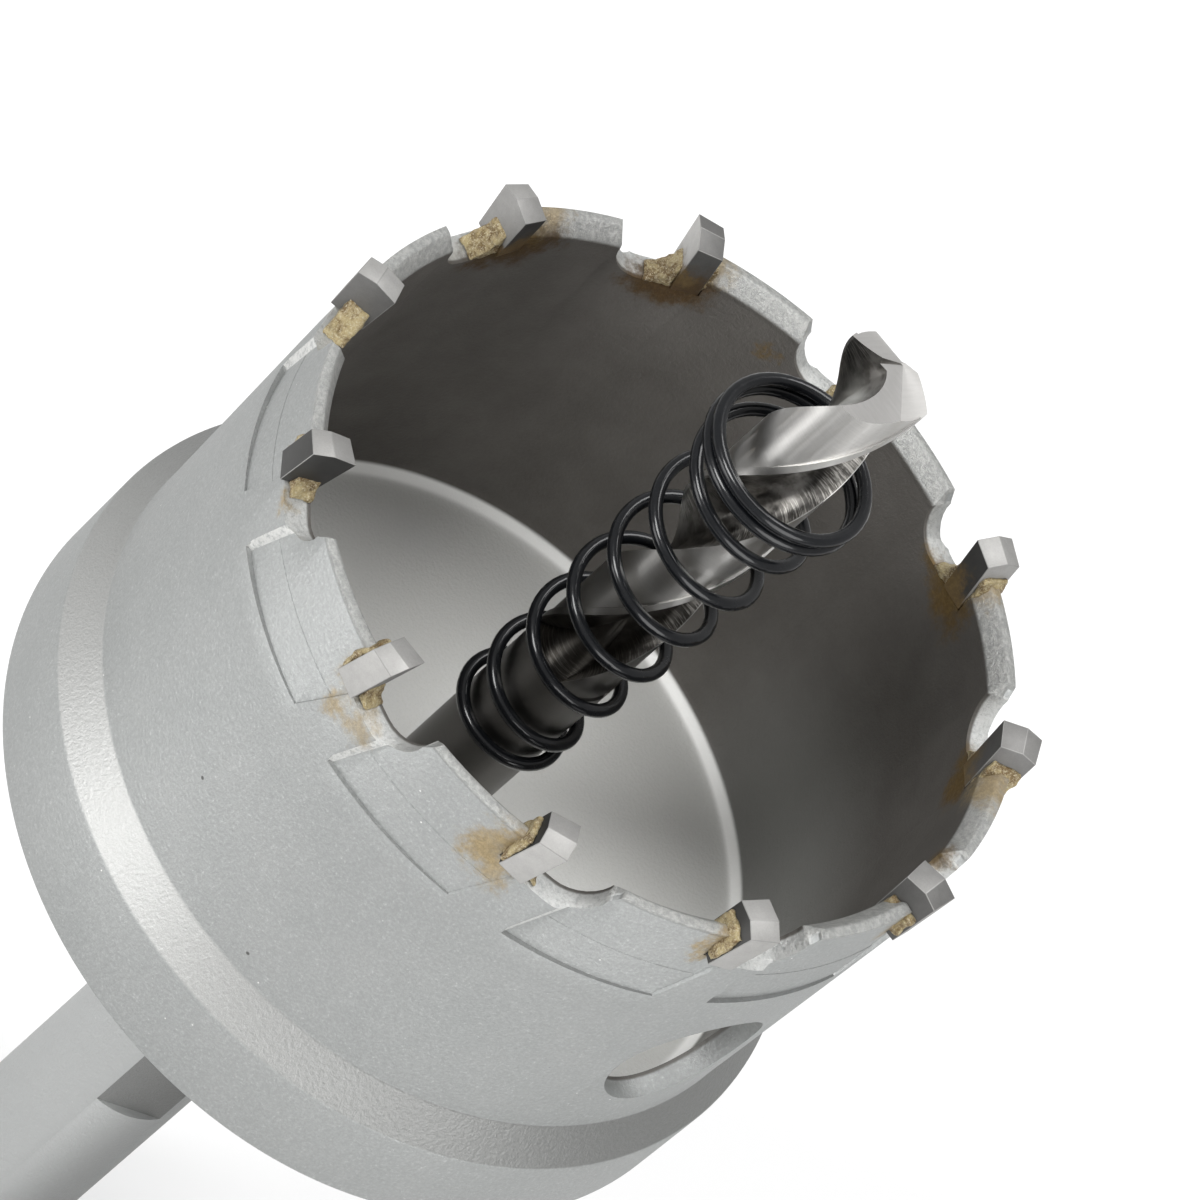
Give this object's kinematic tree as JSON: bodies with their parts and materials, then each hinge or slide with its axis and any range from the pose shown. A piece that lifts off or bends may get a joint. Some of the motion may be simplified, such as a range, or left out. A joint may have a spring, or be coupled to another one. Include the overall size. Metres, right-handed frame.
{
  "type": "hole saw",
  "caption": "Cup-shaped metal-cutting hole saw with brazed carbide tips, a pilot drill inside a tapered ejector spring, and a round shank.",
  "frame": {"origin": "centre of the shank's free end", "axes": "+Z along the axis from the shank to the drill point; +X through the cutting face of tooth_01"},
  "size_m": [0.0514, 0.0514, 0.1048],
  "materials": {
    "body_steel": "bead-blasted satin steel, coarser on the flange cone",
    "carbide": "ground carbide, dull grey",
    "braze_metal": "rough golden braze",
    "drill_steel": "bright ground steel",
    "spring_wire": "gloss black",
    "screw_steel": "black oxide"
  },
  "bodies": {
    "root": {"cutter_body": "body_steel", "tooth_01": "carbide", "tooth_02": "carbide", "tooth_03": "carbide", "tooth_04": "carbide", "tooth_05": "carbide", "tooth_06": "carbide", "tooth_07": "carbide", "tooth_08": "carbide", "tooth_09": "carbide", "tooth_10": "carbide", "tooth_11": "carbide", "braze_01": "braze_metal", "braze_02": "braze_metal", "braze_03": "braze_metal", "braze_04": "braze_metal", "braze_05": "braze_metal", "braze_06": "braze_metal", "braze_07": "braze_metal", "braze_08": "braze_metal", "braze_09": "braze_metal", "braze_10": "braze_metal", "braze_11": "braze_metal", "pilot_drill": "drill_steel", "ejector_spring": "spring_wire", "set_screw": "screw_steel"}
  },
  "joints": []
}
